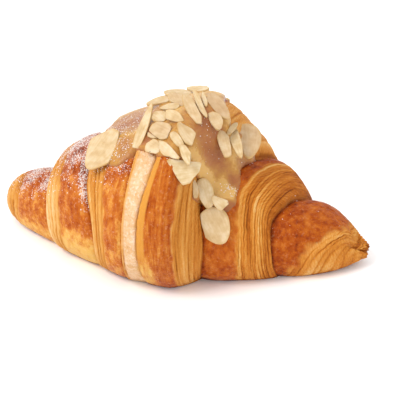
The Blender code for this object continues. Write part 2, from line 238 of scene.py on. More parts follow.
# way is the side that a wrap falls to, shoulder and foot are its heights where it comes out and where
# it ends, and curve is how full it is between them. skin is its browned share at each of edgeAngles,
# brown how dark that is baked, lowPale how much paler it is near the base and mottle how blotchy.
# ribs is how many bands its cut face has, deep how far they stand out and toast how dark they are.
# soft is how blurred the end of the skin is, in millimetres, and sugar how much lies on it.
wraps = (
    {"way": -1, "shoulder": 29.5, "foot": 3, "curve": 2.2, "skin": (0.66, 0.65, 0.62, 0.6, 0.6, 0.6),
     "ribs": 4, "deep": 0.42, "brown": 0.48, "toast": 0.20, "lowPale": 0.30, "sugar": 1.0,
     "soft": 0.8, "mottle": 1},
    {"way": -1, "shoulder": 52, "foot": 31, "curve": 1.65, "skin": (0.68, 0.66, 0.62, 0.6, 0.6, 0.6),
     "ribs": 4, "deep": 0.45, "brown": 0.55, "toast": 0.15, "lowPale": 0.6, "sugar": 1.0,
     "soft": 0.5, "mottle": 1},
    {"way": -1, "shoulder": 67.5, "foot": 49.5, "curve": 1.55, "skin": (0.6, 0.6, 0.58, 0.56, 0.56, 0.56),
     "ribs": 4, "deep": 0.5, "brown": 0.42, "toast": 0.25, "lowPale": 0.08, "sugar": 1.0,
     "soft": 0.5, "mottle": 1.0},
    {"way": -1, "shoulder": 72, "foot": 69.5, "curve": 1.9, "skin": (0.8, 0.8, 0.8, 0.8, 0.8, 0.8),
     "ribs": 1, "deep": 0.4, "brown": 0.1, "toast": 0.3, "lowPale": 0.0, "sugar": 0.1,
     "soft": 0.5, "mottle": 0.5},
    {"way": 0, "shoulder": 76.5, "foot": 72.8, "curve": 1.9, "skin": (0.38, 0.24, 0.4, 0.25, 0.1, 0.1),
     "ribs": 9, "deep": 0.36, "brown": 0.60, "toast": 0.45, "lowPale": 0.15, "sugar": 0.5,
     "soft": 0.8, "mottle": 0.9},
    {"way": 1, "shoulder": 50.5, "foot": 31.5, "curve": 1.6, "skin": (0.5, 0.5, 0.54, 0.32, 0.3, 0.3),
     "ribs": 13, "deep": 0.30, "brown": 0.60, "toast": 0.9, "lowPale": 0.0, "sugar": 0.3,
     "soft": 0.8, "mottle": 0.8},
    {"way": 1, "shoulder": 30.5, "foot": 3.5, "curve": 1.1, "skin": (0.08, 0.31, 0.60, 0.74, 0.72, 0.7),
     "ribs": 9, "deep": 0.45, "brown": 0.69, "toast": 0.85, "lowPale": 0.0, "sugar": 0.25,
     "soft": 4.0, "mottle": 0.8},
)

# Heights are in millimetres. pale says how pale a cut layer is, and what each part of the relief adds; the
# valley and line shares paint shade into the gaps between layers.
relief = {
    "valley": 0.13,  # half width of the line between two ribs, as a share of a rib
    "offset": 0.35,  # how far ribs stand out or back
    "lines": 3,  # thin lines in each rib
    "line": 0.13,
    "blister": 0.34,
    "streak": 0.15,
    "pit": 0.14,
    "skinOnFace": 0.35,  # how much of the skin's relief the cut faces have
    "underGlaze": 0.2,
    "footFade": 14,  # degrees over which it all fades towards the base
    "skinEdge": 0.02,  # how far the end of the skin wanders, as a share of the wrap
    "pale": {"even": 0.55, "stand": 0.40, "broad": 0.34, "bulge": 0.10, "valley": -0.26, "line": -0.20},
}


def edgeSlopes(row):
    runs = np.diff(row) / np.diff(roll["edgeAngles"])
    inner = [0.0 if a * b <= 0 else 2 * a * b / (a + b) for a, b in zip(runs, runs[1:])]
    return np.array([runs[0], *inner, runs[-1]])


def edgePlace(edge, angle):  # X of an edge between wraps, on a curve that never overshoots
    row, slopes = np.array(roll["edges"][edge], float), edgeSlopes(roll["edges"][edge])
    knots = np.array(roll["edgeAngles"])
    n = np.clip(np.searchsorted(knots, angle) - 1, 0, len(knots) - 2)
    span = knots[n + 1] - knots[n]
    t = (angle - knots[n]) / span
    start = row[n] * (1 + 2 * t) * (1 - t) ** 2 + slopes[n] * span * t * (1 - t) ** 2
    end = row[n + 1] * t * t * (3 - 2 * t) + slopes[n + 1] * span * t * t * (t - 1)
    return start + end


def skinShare(wrap, angle):
    return np.interp(angle, roll["edgeAngles"], wrap["skin"])


def spineY(x):
    sweep = np.where(x < 0, roll["sweep"]["left"], roll["sweep"]["right"])
    return sweep * (x / roll["sweepAt"]) ** 2 + roll["spine"]


def sectionAt(number, out, side, angle):  # the even roll, before any relief
    wrap = wraps[number]
    left, right = edgePlace(number, angle), edgePlace(number + 1, angle)
    tip = {leftTip: "left", rightTip: "right"}.get(number)
    power = roll["tipFall"][tip] if tip else roll["fall"]
    full = roll["centreCurve"] if wrap["way"] == 0 and side > 0 else wrap["curve"]
    down = (1 - np.clip(out, 0, 1) ** power) ** (1 / full)
    if wrap["way"] == 0:
        crest = mix(left, right, roll["crest"])
        x = mix(crest, left if side < 0 else right, out)
        height = mix(wrap["foot"] if side < 0 else roll["centreFoot"], wrap["shoulder"], down)
    else:
        x = mix(right, left, out) if side < 0 else mix(left, right, out)
        height = mix(wrap["foot"], wrap["shoulder"], down)
        dip = roll["tipCrevice"] if tip else roll["crevice"]
        height = height - dip * np.exp(-out / roll["creviceReach"])
    lift = roll["tipLift"][tip] * wrap["shoulder"] * (1 - down) ** 1.5 if tip else 0 * down
    across, up = np.cos(np.radians(angle)), np.sin(np.radians(angle))
    ends = np.where(x < 0, roll["width"]["left"], roll["width"]["right"])
    wide = mix(roll["width"]["centre"], ends, np.minimum(1.0, np.abs(x) / roll["widthAt"]))
    square, centre = roll["squareness"], roll["centre"]
    y = -height * wide / 2 * np.copysign(np.abs(across) ** square, across) + spineY(x)
    z = height * (centre + (1 - centre) * np.copysign(np.abs(up) ** square, up))
    deep, size = roll["lumps"]
    lump = deep * noiseAt(np.stack([x, y, z], -1), size)
    y = y - lump * across
    z = z + lump * up + lift
    under = (angle <= roll["edgeAngles"][0]) | (angle >= roll["edgeAngles"][-1])
    z = np.where(under, lift, z)  # the flat base
    return np.stack([x, y, np.maximum(z, 0)], -1)


def rowsOf(number, coarse):  # a wrap's rings as side and place: -1 to 0 is its skin, 0 to 1 its cut face
    wrap = wraps[number]
    width = abs(edgePlace(number + 1, roll["ringsAt"]) - edgePlace(number, roll["ringsAt"])) / coarse
    if wrap["way"] == 0:
        count = int(width * roll["crest"] / roll["faceStep"])
        left = [(-1, out) for out in np.linspace(0.995, 0.02, count)]
        width *= 1 - roll["crest"]
    share = skinShare(wrap, roll["ringsAt"])
    skin = -np.linspace(1, 0, max(4, int(width * share / roll["skinStep"])), endpoint=False) ** 0.8
    # a cut face is about a quarter longer than it is wide, because it falls
    face = np.linspace(0, roll["lastRow"], max(5, int(width * (1 - share) * 1.25 / roll["faceStep"])))
    rows = [(1 if wrap["way"] >= 0 else -1, row) for row in (*skin, *face)]
    if wrap["way"] == 0:
        return left + rows
    return rows if wrap["way"] > 0 else rows[::-1]


def evenNormals(places):  # outward normals of a grid of rings
    along = np.gradient(places, axis=0)
    about = np.gradient(places, axis=1)
    normals = np.cross(along, about)
    for _ in range(3):
        normals[1:-1] = (normals[:-2] + 2 * normals[1:-1] + normals[2:]) / 4
    normals /= np.linalg.norm(normals, axis=-1, keepdims=True) + 1e-12
    middle = places.mean(axis=1, keepdims=True)
    inward = ((places - middle) * normals).sum(axis=-1).mean() < 0
    return -normals if inward else normals


def layRoll(coarse, around):  # every ring of the roll, with what the looks need to know there
    angle = np.linspace(roll["edgeAngles"][0], roll["edgeAngles"][-1], around)
    kept = {name: [] for name in ("place", "face", "across", "number", "side", "out", "skin")}
    for number, wrap in enumerate(wraps):
        for side, row in rowsOf(number, coarse):
            ragged = relief["skinEdge"] * noiseRound(angle, 9, number + 1)
            skin = skinShare(wrap, angle) + ragged * (wrap["way"] != 0)
            if wrap["way"] == 0 and side < 0:
                out, face = np.full(around, row), np.full(around, -1.0)
            elif row < 0:
                out, face = skin * (1 + row), np.full(around, row)
            else:
                out, face = mix(skin, 1.0, row), np.full(around, row)
            wide = np.abs(edgePlace(number + 1, angle) - edgePlace(number, angle))
            kept["place"].append(sectionAt(number, out, side, angle))
            kept["face"].append(face)
            kept["across"].append(out * wide)
            kept["number"].append(np.full(around, number))
            kept["side"].append(np.full(around, side))
            kept["out"].append(out)
            kept["skin"].append(skin)
    kept = {name: np.array(rows) for name, rows in kept.items()}
    kept["angle"] = np.broadcast_to(angle, kept["face"].shape)
    kept["normal"] = evenNormals(kept["place"])
    return kept


def wrapValue(grid, name):
    return np.array([float(wrap[name]) for wrap in wraps])[grid["number"]]


def layerRelief(grid):  # millimetres above the even roll, and how pale each point of a cut face is
    face, number, angle = grid["face"], grid["number"], grid["angle"]
    ribs, deep = wrapValue(grid, "ribs"), wrapValue(grid, "deep")

    def lines(across, length, seed):  # noise drawn out along the layers; length in degrees
        return noiseAt(np.stack([angle / length, across, number * 5.0], -1), 1, seed)

    wander = 0.60 * lines(face * 1.2, 80, 1) + 0.07 * lines(face * 4, 30, 2)
    phase = face * ribs + wander * np.clip(face * 5, 0, 1)
    phase = phase + 0.5 * lines(face * ribs * 0.75, 150, 9)  # ribs of unequal width
    rib = np.floor(phase)
    valley = hump(np.minimum(phase - rib, rib + 1 - phase), 0, relief["valley"])
    edge = np.round(phase)  # each valley opens and closes along its way
    gape = 0.2 + 1.1 * smooth(0.5 + 1.5 * lines(edge * 3.3, 75, 11))
    stand = lines(rib * 3.7, 70, 5)
    broad = lines(face * 2.6, 80, 7)
    fine = phase * relief["lines"] + 0.4 * lines(face * 3, 24, 3)
    drawn = smooth(0.5 + 1.5 * lines(np.floor(fine) * 2.3, 26, 13))
    line = np.abs(2 * (fine - np.floor(fine)) - 1) ** 6 * drawn
    bulge = 1 - np.abs(2 * (phase - rib) - 1) ** 2.5
    height = deep * (0.5 * bulge - valley * gape) + relief["offset"] * deep * stand - relief["line"] * line
    share = relief["pale"]
    pale = share["even"] + share["stand"] * stand + share["broad"] * broad + share["bulge"] * bulge
    # painted shade: the valleys between ribs darken as they open wider, and the thin lines darken too
    pale = pale + share["valley"] * valley * gape + share["line"] * line
    # the ends of the cut faces are painted darker, as shade in the crevice under the next wrap, and the upper
    # part of the inner right wrap is browner
    inner = number == innerRight
    pale = pale - 0.30 * rise(face, np.where(inner, 0.7, 0.9), np.where(inner, 0.3, 0.1))
    pale = pale - 0.16 * inner * rise(angle, 50, 40)
    pale = pale + np.where(inner, 0.28 * hump(phase, 1.0, 0.9), 0)
    return np.where(face > 0, height, 0.0), np.where(face > 0, pale, 0.7)


def skinRelief(grid):  # blisters, streaks along the layers and pits
    place = grid["place"]
    blister = noiseAt(place, 4.0, 2) * 0.6 + noiseAt(place, 1.9, 4) * 0.4
    along = grid["angle"] * roll["perDegree"] / 6.5
    streak = noiseAt(np.stack([grid["across"] / 1.6, along, grid["number"] * 5.0], -1), 1, 15)
    pit = noiseAt(place, 0.9, 6)
    return relief["blister"] * blister + relief["streak"] * streak + relief["pit"] * pit


def edgeFade(angle):
    low, high = roll["edgeAngles"][0], roll["edgeAngles"][-1]
    return rise(angle, low, relief["footFade"]) * rise(angle, high, -relief["footFade"])


def creamStrip(grid):  # where the soft crumb of the pale strip shows
    spread = grid["out"] + 0.10 * noiseAt(grid["place"], 4, 61)
    return (grid["number"] == paleStrip) * rise(spread, 0.96, -0.16) * rise(spread, -0.02, 0.2)


def crustHeight(grid, layers, cream):  # millimetres above the even roll
    onFace = grid["face"] > 0
    height = layers * smooth(grid["face"] * 12 / wrapValue(grid, "soft")) * onFace
    height = height + skinRelief(grid) * np.where(onFace, relief["skinOnFace"], 1.0)
    height = height * edgeFade(grid["angle"]) * np.where(cream > 0.5, 0.5, 1)
    filled = rise(drizzleLevel(grid["place"], grid["angle"]), -0.5, 2)  # the drizzle fills it
    return height * mix(1, relief["underGlaze"], filled)


def shapeTip(grid, places):  # the right tip dips before its end, which is two lobes with a notch between
    angle, out, last = grid["angle"], grid["out"], grid["number"] == rightTip
    ragged = 1.5 * noiseRound(angle, 13, 21) - 2.0 * hump(angle, 30, 15) + 0.3
    places[..., 0] += np.where(last, ragged * rise(out, 0.84, 0.16) * edgeFade(angle), 0)
    deep, middle, reach = roll["tipDip"]
    dip = deep * hump(out, middle, reach) * rise(angle, 25, 40) * rise(angle, 150, -30)
    places[..., 2] -= np.where(last, dip, 0)
    places[..., 2] = np.maximum(places[..., 2], 0)


def browningAndCreviceShade(grid):  # how dark the skin is baked, with painted shade in the crevices where a wrap comes out
    number, angle, out = grid["number"], grid["angle"], grid["out"]
    fade = smooth((6 + 5 * (number == leftTip) - angle + 9 * noiseAt(grid["place"], 5, 41)) / 26)
    brown = wrapValue(grid, "brown") - wrapValue(grid, "lowPale") * fade
    onTop = np.where(number < paleStrip, 0.22, np.where(number == rightTip, 0, 0.12))
    brown = brown + onTop * rise(angle, 30, 50) + 0.5 * rise(angle, -46, -7)  # and darkest on the base
    brown = brown + 0.12 * (number == middleWrap) * rise(angle, 4, -25)
    brown = brown + 0.12 * (number == thirdLeft) * rise(angle, 25, 20)
    heel = (number == middleWrap) * (grid["side"] < 0) * rise(out, 0.3, 0.3) * rise(angle, -6, -16)
    brown = brown - 0.42 * heel + 0.10 * noiseAt(grid["place"], 11, 14)
    return brown + 0.25 * np.exp(-out / 0.025) * (number != middleWrap)  # painted shade: a dark line in the crevice where a wrap comes out from under its neighbour


def cutShare(grid):  # 0 on the skins and 1 on the cut faces
    wide = np.abs(grid["across"] / np.maximum(grid["out"], 1e-3))
    past = (grid["out"] - grid["skin"]) * wide / wrapValue(grid, "soft")
    past = past + 0.8 * noiseAt(grid["place"], 4.5, 51)
    cut = np.where(grid["face"] == -1.0, 0, smooth(past + 0.5))
    return np.where(grid["side"] * (grid["number"] == middleWrap) < 0, 0, cut)


def sugarOn(grid):  # how much powdered sugar lies on the crust
    number, angle = grid["number"], grid["angle"]
    patch = 0.85 + 0.9 * noiseAt(grid["place"], 7.0, 12)
    amount = wrapValue(grid, "sugar") * (rise(angle, 22, 45) * rise(angle, 190, -50)) * patch
    amount = amount * np.where(grid["face"] > 0, np.where(number > paleStrip, 0.25, 0.55), 1)
    amount = np.where(number > paleStrip, amount * amount, amount)
    ledge = (number == secondLeft) * rise(grid["out"], 0.2, -0.1) * rise(angle, 8, 25) * rise(angle, 140, -30)
    return np.clip(amount + 0.9 * ledge, 0, 1)


def sortFaces(shape):  # so that every run lists them in the same order, and the sugar falls the same way
    shape.verts.index_update()
    shape.faces.sort(key=lambda face: sum(vert.index**2 for vert in face.verts))


def rollShape(grid, places):  # a sphere whose rings become the sections of the roll
    rings, around = grid["face"].shape
    ball = bmesh.new()
    bmesh.ops.create_uvsphere(ball, u_segments=around, v_segments=rings + 1, radius=1)
    start, end = places[0].mean(axis=0), places[-1].mean(axis=0)
    rows = []
    for vert in ball.verts:
        row = round(math.atan2(math.hypot(vert.co.x, vert.co.y), vert.co.z) / math.pi * (rings + 1))
        step = round(math.atan2(vert.co.y, vert.co.x) / (2 * math.pi) * around) % around
        if row in (0, rings + 1):
            vert.co = Vector(start if row == 0 else end)
        else:
            vert.co = Vector(places[row - 1, step])
        rows.append((min(max(row - 1, 0), rings - 1), step))
    sortFaces(ball)
    bmesh.ops.recalc_face_normals(ball, faces=ball.faces)
    bmesh.ops.translate(ball, verts=ball.verts, vec=roll["shift"])
    bmesh.ops.scale(ball, verts=ball.verts, vec=(mm, mm, mm))
    return ball, tuple(np.array(rows).T)


def makeCrust():
    grid = layRoll(1.0, roll["around"])
    number, angle, out = grid["number"], grid["angle"], grid["out"]
    layers, ridge = layerRelief(grid)
    ridge = ridge - 0.4 * rise(angle, -47, -6) - 0.22 * (number < paleStrip) * rise(angle, 35, 30)
    cream = creamStrip(grid)
    step = (number == middleWrap) * (grid["side"] < 0) * rise(out, 0.68, 0.05) * rise(angle, -26, 18)
    places = grid["place"] + grid["normal"] * crustHeight(grid, layers, cream)[..., None]
    shapeTip(grid, places)
    shape, rows = rollShape(grid, places)
    made = newObject("crust", shape, bakedCrust())
    shown = {
        "face": cutShare(grid),
        "ridge": ridge,
        "brown": browningAndCreviceShade(grid),
        "toast": wrapValue(grid, "toast"),
        "mottle": wrapValue(grid, "mottle"),
        "cream": cream,
        "stepFace": step,
        "sugar": sugarOn(grid),
        "acrossLayers": grid["across"] + 40 * number,  # so that no two wraps have the same pattern
        "alongLayers": angle * roll["perDegree"],
    }
    for name, values in shown.items():
        setAttribute(made.data, name, values[rows])
    print("crust", len(made.data.polygons), "faces")
    return made


# Colours run from the darkest bake to the palest, or the other way for the skin. Noise is even in
# all directions, and its scale is 1 over its size in metres; drawn noise lies along the layers, and
# its two scales are 1 over its size in millimetres across and along them.
baked = {
    "skin": (
        (0.0, "#DDAE5C"), (0.25, "#D28E3C"), (0.45, "#BD6922"),
        (0.62, "#AE5510"), (0.8, "#983F08"), (1.0, "#702B05"),
    ),
    "pale": ((0.0, "#A05A12"), (0.3, "#C58030"), (0.6, "#D0964A"), (0.85, "#D9AA6A"), (1.0, "#DFBC88")),
    "toasted": ((0.0, "#7E3C0A"), (0.3, "#A95A14"), (0.6, "#C67A28"), (0.85, "#D49444"), (1.0, "#DCAC68")),
    "crumb": ((0.2, "#C8945A"), (0.4, "#D6A978"), (0.6, "#DCB68C"), (0.8, "#E4CBAC")),
    "tints": {
        # the pinkish flecks are painted sheen of the egg glaze catching the light, together with melted sugar
        "sheenAndSugarFleck": "#E2AE86", "flour": "#F0E2D0", "pore": "#B4834A", "step": "#D08F3B", "sugar": "#E2DAD5",
    },
    "noise": {
        "broad": {"Scale": 180.0, "Detail": 3.0},  # blotches of 5.6 mm
        "fine": {"Scale": 900.0, "Detail": 4.0, "Roughness": 0.65},  # blisters of 1.1 mm
        "specks": {"Scale": 620.0, "Detail": 3.0, "Roughness": 0.6, "Distortion": 0.6},  # 1.6 mm
        "grains": {"Scale": 1500.0, "Detail": 2.0, "Roughness": 0.7},  # 0.7 mm, coarse enough to show
    },
    "drawn": {
        "streak": ((2.4, 0.14, 1), 4.0),  # 0.4 by 7 mm
        "flaky": ((0.36, 0.13, 1), 5.0),  # 2.8 by 7.7 mm
    },
    "poreScale": 800.0,  # 1.25 mm apart
    "skinRoughness": 0.36,
    "cutRoughness": 0.6,
    "finish": {
        "Subsurface Weight": 0.08,
        "Subsurface Radius": (0.003, 0.0012, 0.0004),
        "Specular IOR Level": 0.09,  # a thin, dry egg film
    },
}


def bakedCrust():  # laminated dough brushed with egg: a brown, slightly glossy skin over pale layers
    made, tree, shader = newMaterial("Egg-washed baked dough", baked["finish"])
    tint = {name: colour(text) for name, text in baked["tints"].items()}
    seen = {}
    for name in ("face", "ridge", "brown", "mottle", "toast", "cream", "stepFace", "sugar"):
        seen[name] = addNode(tree, "Attribute", out="Fac", attribute_name=name)
    at = addNode(tree, "TexCoord", out="Object")
    for name, values in baked["noise"].items():
        seen[name] = addNode(tree, "TexNoise", values, {"Vector": at})
    across = addNode(tree, "Attribute", out="Fac", attribute_name="acrossLayers")
    along = addNode(tree, "Attribute", out="Fac", attribute_name="alongLayers")
    layers = addNode(tree, "CombineXYZ", links={"X": across, "Y": along})
    for name, (stretch, detail) in baked["drawn"].items():
        drawn = addNode(tree, "Mapping", {"Scale": stretch}, {"Vector": layers})
        values = {"Scale": 1.0, "Detail": detail, "Roughness": 0.6}
        seen[name] = addNode(tree, "TexNoise", values, {"Vector": drawn})
    mottled = addNode(tree, "Math", {1: 0.55, 2: -0.275}, {0: seen["broad"]}, operation="MULTIPLY_ADD")
    mottled = vary(tree, vary(tree, mottled, seen["fine"], 0.45), seen["flaky"], 1.4)
    tone = {0: mottled, 1: seen["mottle"], 2: seen["brown"]}
    tone = addNode(tree, "Math", links=tone, operation="MULTIPLY_ADD")
    skin = addNode(tree, "ValToRGB", links={"Fac": tone}, stops=baked["skin"])
    specks = {"Value": seen["specks"]}
    # painted sheen: pale pinkish flecks where the egg glaze catches the light, mixed with melted sugar, most
    # on blotchy skins
    sheenAndSugarFlecks = addNode(tree, "MapRange", {"From Min": 0.56, "From Max": 0.72, "To Max": 0.4}, specks)
    patchy = addNode(tree, "Math", {1: 4.0}, {0: seen["mottle"]}, operation="POWER")
    sheenAndSugarFlecks = addNode(tree, "Math", links={0: sheenAndSugarFlecks, 1: patchy}, operation="MULTIPLY")
    skin = addNode(tree, "Mix", {7: tint["sheenAndSugarFleck"]}, {0: sheenAndSugarFlecks, 6: skin}, out=2, data_type="RGBA")
    depth = vary(tree, vary(tree, seen["ridge"], seen["streak"], 0.95), seen["fine"], 0.32)
    pale = addNode(tree, "ValToRGB", links={"Fac": depth}, stops=baked["pale"])
    toasted = addNode(tree, "ValToRGB", links={"Fac": depth}, stops=baked["toasted"])
    cut = addNode(tree, "Mix", links={0: seen["toast"], 6: pale, 7: toasted}, out=2, data_type="RGBA")
    body = addNode(tree, "Mix", links={0: seen["face"], 6: skin, 7: cut}, out=2, data_type="RGBA")
    crumb = vary(tree, seen["broad"], seen["fine"], 0.45)
    crumb = addNode(tree, "ValToRGB", links={"Fac": crumb}, stops=baked["crumb"])
    holes = addNode(tree, "TexVoronoi", {"Scale": baked["poreScale"]}, {"Vector": at}, out="Distance")
    pores = addNode(tree, "MapRange", {"From Min": 0.34, "From Max": 0.16, "To Max": 0.35}, {"Value": holes})
    flour = addNode(tree, "MapRange", {"From Min": 0.5, "From Max": 0.7, "To Max": 0.5}, specks)
    crumb = addNode(tree, "Mix", {7: tint["flour"]}, {0: flour, 6: crumb}, out=2, data_type="RGBA")
    crumb = addNode(tree, "Mix", {7: tint["pore"]}, {0: pores, 6: crumb}, out=2, data_type="RGBA")
    body = addNode(tree, "Mix", links={0: seen["cream"], 6: body, 7: crumb}, out=2, data_type="RGBA")
    body = addNode(tree, "Mix", {7: tint["step"]}, {0: seen["stepFace"], 6: body}, out=2, data_type="RGBA")
    lying = addNode(tree, "Math", {1: 0.24, 2: -0.725}, {0: seen["sugar"]}, operation="MULTIPLY_ADD")
    lying = addNode(tree, "Math", links={0: lying, 1: seen["grains"]}, operation="ADD")
    lying = addNode(tree, "Math", {1: 12.0}, {0: lying}, operation="MULTIPLY", use_clamp=True)
    lying = addNode(tree, "Math", {1: 0.8}, {0: lying}, operation="MULTIPLY")
    body = addNode(tree, "Mix", {7: tint["sugar"]}, {0: lying, 6: body}, out=2, data_type="RGBA")
    tree.links.new(body, shader.inputs["Base Color"])
    ends = {"To Min": baked["skinRoughness"], "To Max": baked["cutRoughness"]}
    rough = addNode(tree, "MapRange", ends, {"Value": seen["face"]})
    rough = addNode(tree, "Math", links={0: rough, 1: lying}, operation="MAXIMUM")
    tree.links.new(rough, shader.inputs["Roughness"])
    bumpy = vary(tree, vary(tree, seen["fine"], seen["streak"], 0.5), seen["flaky"], 1.2)
    bump = addNode(tree, "Bump", {"Strength": 0.7, "Distance": 0.0008}, {"Height": bumpy})
    tree.links.new(bump, shader.inputs["Normal"])
    return made


# Toppings are laid on what is already there.
laying = {
    "axis": ((-90, 7), (-66, 13), (-40, 24), (0, 34), (25, 30), (45, 17), (75, 7)),  # X and height
    "from": 150.0,  # how far from the axis they start
    "support": 4.0,  # how far round a topping's middle the surface sets its slope
    "above": 40.0,
    "sunk": 0.15,  # share of a flake's points that end up in what it lies on
    "bite": 0.2,  # and how far it sinks in past that
}


def surfaceOf(made):  # in the roll's own frame, in millimetres
    shape = bmesh.new()
    shape.from_mesh(made.data)
    bmesh.ops.scale(shape, verts=shape.verts, vec=(1 / mm,) * 3)
    bmesh.ops.translate(shape, verts=shape.verts, vec=-Vector(roll["shift"]))
    tree = BVHTree.FromBMesh(shape)
    shape.free()
    return tree


def fallOn(trees, start, way):
    met = [tree.ray_cast(start, way) for tree in trees]
    met = [hit for hit in met if hit[0] is not None]
    return min(met, key=lambda hit: hit[3]) if met else (None, None, None, None)


def nearestOn(trees, point):
    return min((tree.find_nearest(point) for tree in trees), key=lambda hit: hit[3])[0]


def laidFrame(trees, x, angle, turn, lean):  # where a topping lies, and its length, width and upward axes
    ray = Vector((0, -math.cos(math.radians(angle)), math.sin(math.radians(angle))))
    middle = Vector((x, float(spineY(x)), float(np.interp(x, *zip(*laying["axis"])))))
    place = fallOn(trees, middle + ray * laying["from"], -ray)[0]
    side = Vector((laying["support"], 0, 0))
    around = [Matrix.Rotation(step * math.pi / 4, 3, ray) @ side for step in range(9)]
    beside = [nearestOn(trees, place + way) - place for way in around]
    normal = Vector()
    for one, other in zip(beside, beside[1:]):
        normal += one.cross(other)
    normal.normalize()
    along = (Vector((1, 0, 0)) - normal * normal.x).normalized()
    tip = Matrix.Rotation(math.radians(lean), 3, along)
    spin = Matrix.Rotation(math.radians(turn), 3, normal)
    return place, tip @ spin @ Matrix((along, normal.cross(along), normal)).transposed()


# outline is where the drizzle ends, as X and angle round the roll. spots says where it is thinner or
# thicker, as X, angle, radius and what its thickness is multiplied by there. Lengths are in mm.
drizzle = {
    "outline": (
        (-41, 79), (-41, 90), (-39.5, 100), (-39, 112), (-35, 126), (-24, 137), (-10, 146), (2, 145),
        (8, 132), (9.5, 116), (10.6, 106), (13.4, 100), (15.1, 95), (17.7, 99), (21.5, 104), (25, 108),
        (26.5, 104), (25.6, 98), (23.2, 91), (21.7, 86), (22.4, 74), (22, 64), (21.7, 54), (21.5, 47),
        (19, 39), (14, 38), (9.5, 39), (7, 36), (5, 34), (5.5, 42), (6.4, 52), (4.5, 53), (0, 50),
        (-5, 49), (-10, 52), (-15, 56), (-20.5, 58), (-22, 54), (-25, 50), (-28, 49), (-32, 51),
        (-36, 55), (-40, 65),
    ),
    "spots": (
        (-25, 57, 8, 0.6), (-17, 66, 5, 0.1), (8, 77, 9, 0.02), (20.5, 70, 5, 0.15),
        (19.5, 44, 5, 0.2), (-28, 94, 11, 0.3), (14, 84, 5, 1.3), (12, 63, 9, 1.7), (14, 47, 6, 1.5),
        (0, 100, 14, 1.2),
    ),
    "thick": 1.5,
    "least": 0.45,
    "lumps": ((0.45, 7, 33), (0.30, 3.0, 35)),  # how high, how wide, and the seed
    "roundness": 0.62,  # millimetres for each degree round the roll
    "edge": 2.4,  # how far in from its edge the drizzle reaches its full thickness
    "root": 1.0,  # how far its edge goes down into the crust
    "trim": -1.0,  # how far outside its edge it is cut off
    "below": 1.4,  # how far its underside is below the crust's lowest points nearby
    "uneven": 0.8,  # how far its edge wanders
    "coarse": 1.7,  # how many times wider than the crust's its rings are spaced
    "around": 150,
    "tones": ((0.0, "#955930"), (0.3, "#A06435"), (0.55, "#AA7339"), (0.8, "#B5823C"), (1.0, "#CA9E5A")),
    "finish": {
        "Roughness": 0.3,
        "Specular IOR Level": 0.26,
        "Subsurface Weight": 0.25,
        "Subsurface Radius": (0.004, 0.002, 0.0008),
    },
}


def insideBy(points, outline):  # how far inside a closed outline each point is, negative outside
    nearest = np.full(points.shape[:-1], 1e9)
    inside = np.zeros(points.shape[:-1], bool)
    for start, end in zip(outline, np.roll(outline, -1, axis=0)):
        run = end - start
        share = np.clip(((points - start) @ run) / (run @ run), 0, 1)
        nearest = np.minimum(nearest, np.linalg.norm(points - start - share[..., None] * run, axis=-1))
        crosses = (start[1] > points[..., 1]) != (end[1] > points[..., 1])
        level = (points[..., 1] - start[1]) / (run[1] if run[1] else 1e-9)
        inside ^= crosses & (points[..., 0] < start[0] + level * run[0])
    return np.where(inside, nearest, -nearest)


def unrolled(places, angle):  # X and the way round the roll, both in millimetres
    return np.stack([places[..., 0], angle * drizzle["roundness"]], -1)


def drizzleLevel(places, angle):  # how far inside the drizzle's edge each point is
    outline = np.array(drizzle["outline"]) * (1, drizzle["roundness"])
    return insideBy(unrolled(places, angle), outline) + drizzle["uneven"] * noiseAt(places, 5.0, 31)


def evenOut(values, passes, axis):
    values = np.moveaxis(values.copy(), axis, 0)
    for _ in range(passes):
        values[1:-1] = (values[:-2] + 2 * values[1:-1] + values[2:]) / 4
    return np.moveaxis(values, 0, axis)


def nearby(values, pick):  # the highest or lowest value around each point, evened out
    found = values
    for step in range(-4, 5):
        found = pick(found, np.roll(values, step, axis=0))
    return evenOut(evenOut(found, 10, 0), 6, 1)


